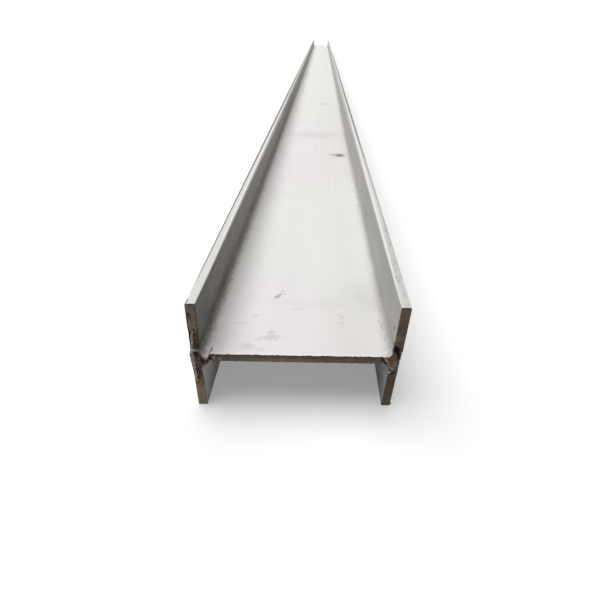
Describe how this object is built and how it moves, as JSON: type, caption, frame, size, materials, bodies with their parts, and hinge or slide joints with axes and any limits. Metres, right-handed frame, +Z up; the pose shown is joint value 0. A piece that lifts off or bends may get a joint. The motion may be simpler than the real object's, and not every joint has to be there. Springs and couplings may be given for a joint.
{
  "type": "steel h-beam",
  "caption": "Hot-rolled galvanised steel H-beam stock length with parallel flanges, rounded roots and one rough torch-cut end, used as a structural beam or post.",
  "frame": {"origin": "on the floor, under the middle of the beam's bounding box", "axes": "+Y along the length, towards the sawn end; +X across the section, from the left flange to the right one as seen from the torch-cut end; +Z up, along the flange width, as the beam lies on its toes"},
  "size_m": [0.207, 6, 0.134],
  "materials": {
    "galvanised_steel": "dull matt galvanised grey, brown oxide on the torch-cut end"
  },
  "bodies": {
    "root": {"h_beam": "galvanised_steel"}
  },
  "joints": []
}
